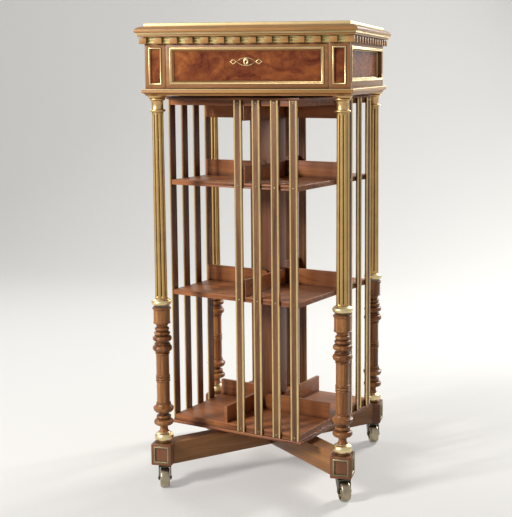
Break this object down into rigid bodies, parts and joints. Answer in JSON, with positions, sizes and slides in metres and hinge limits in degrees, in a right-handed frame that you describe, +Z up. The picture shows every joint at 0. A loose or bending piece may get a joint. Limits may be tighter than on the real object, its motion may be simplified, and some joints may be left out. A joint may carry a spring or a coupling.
{
  "type": "revolving bookcase",
  "caption": "Revolving bookcase: a slatted case for books turning between turned and reeded corner columns, under a dentilled top with a locking drawer, on castors.",
  "frame": {"origin": "on the floor, under the centre of the top", "axes": "+Z up, the drawer opens towards -Y, +X to the right as seen from the drawer side"},
  "size_m": [0.568, 0.568, 1.211],
  "materials": {
    "walnut": "french polished, warm red brown",
    "burr_walnut": "polished burr veneer, mottled",
    "drawer_wood": "plain waxed timber",
    "brass": "aged polish",
    "iron": "blackened"
  },
  "bodies": {
    "frame": {"top_board": "walnut", "cornice_mouldings": "walnut", "corner_posts": "walnut", "carcass_rails": "walnut", "side_panels": "walnut", "back_panel": "walnut", "bottom_board": "walnut", "base_moulding": "walnut", "corner_blocks": "walnut", "stretcher_lower": "walnut", "stretcher_upper": "walnut", "leg_front_left": "walnut", "leg_front_right": "walnut", "leg_back_right": "walnut", "leg_back_left": "walnut", "dentils": "walnut", "burr_panels": "burr_walnut", "drawer_guides": "drawer_wood", "top_fillet": "brass", "brass_lines": "brass", "dentil_backing": "brass", "panel_frames": "brass", "block_frames": "brass", "capitals": "brass", "column_rings": "brass", "column_shaft_front_left": "brass", "column_shaft_front_right": "brass", "column_shaft_back_right": "brass", "column_shaft_back_left": "brass", "spindle": "iron", "top_pivot": "iron", "castor_plates": "iron"},
    "drawer": {"drawer_front": "walnut", "drawer_panel": "burr_walnut", "drawer_frame": "brass", "drawer_sides": "drawer_wood", "drawer_back": "drawer_wood", "drawer_bottom": "drawer_wood", "escutcheon": "brass", "drawer_lock": "iron"},
    "lock_bolt": {"lock_bolt": "brass"},
    "case": {"bottom_shelf": "walnut", "middle_shelf": "walnut", "upper_shelf": "walnut", "top_shelf": "walnut", "centre_post": "walnut", "slats": "walnut", "slat_beads": "brass", "slat_nails": "brass", "book_stops": "walnut", "hanging_stops": "walnut", "pivot_bushes": "brass"},
    "castor_front_left": {"castor_fork_front_left": "iron"},
    "wheel_front_left": {"castor_wheel_front_left": "brass"},
    "castor_front_right": {"castor_fork_front_right": "iron"},
    "wheel_front_right": {"castor_wheel_front_right": "brass"},
    "castor_back_right": {"castor_fork_back_right": "iron"},
    "wheel_back_right": {"castor_wheel_back_right": "brass"},
    "castor_back_left": {"castor_fork_back_left": "iron"},
    "wheel_back_left": {"castor_wheel_back_left": "brass"}
  },
  "joints": [
    {"name": "drawer_slide", "type": "slide", "parent": "frame", "child": "drawer", "axis": [0, -1, 0], "range_m": [0, 0.38]},
    {"name": "lock_bolt_slide", "type": "slide", "parent": "drawer", "child": "lock_bolt", "axis": [0, 0, 1], "range_m": [0, 0.007]},
    {"name": "case_turn", "type": "hinge", "parent": "frame", "child": "case", "pos_m": [0, 0, 0.134], "axis": [0, 0, 1], "continuous": true},
    {"name": "castor_swivel_front_left", "type": "hinge", "parent": "frame", "child": "castor_front_left", "pos_m": [-0.24, -0.24, 0.0573], "axis": [0, 0, 1], "continuous": true},
    {"name": "castor_roll_front_left", "type": "hinge", "parent": "castor_front_left", "child": "wheel_front_left", "pos_m": [-0.23455, -0.25504, 0.0255], "axis": [-0.9403, -0.3404, 0], "continuous": true},
    {"name": "castor_swivel_front_right", "type": "hinge", "parent": "frame", "child": "castor_front_right", "pos_m": [0.24, -0.24, 0.0573], "axis": [0, 0, 1], "continuous": true},
    {"name": "castor_roll_front_right", "type": "hinge", "parent": "castor_front_right", "child": "wheel_front_right", "pos_m": [0.24726, -0.25426, 0.0255], "axis": [-0.891, -0.454, 0], "continuous": true},
    {"name": "castor_swivel_back_right", "type": "hinge", "parent": "frame", "child": "castor_back_right", "pos_m": [0.24, 0.24, 0.0573], "axis": [0, 0, 1], "continuous": true},
    {"name": "castor_roll_back_right", "type": "hinge", "parent": "castor_back_right", "child": "wheel_back_right", "pos_m": [0.24547, 0.22496, 0.0255], "axis": [-0.9397, -0.342, 0], "continuous": true},
    {"name": "castor_swivel_back_left", "type": "hinge", "parent": "frame", "child": "castor_back_left", "pos_m": [-0.24, 0.24, 0.0573], "axis": [0, 0, 1], "continuous": true},
    {"name": "castor_roll_back_left", "type": "hinge", "parent": "castor_back_left", "child": "wheel_back_left", "pos_m": [-0.24918, 0.22689, 0.0255], "axis": [-0.8192, 0.5736, 0], "continuous": true}
  ]
}
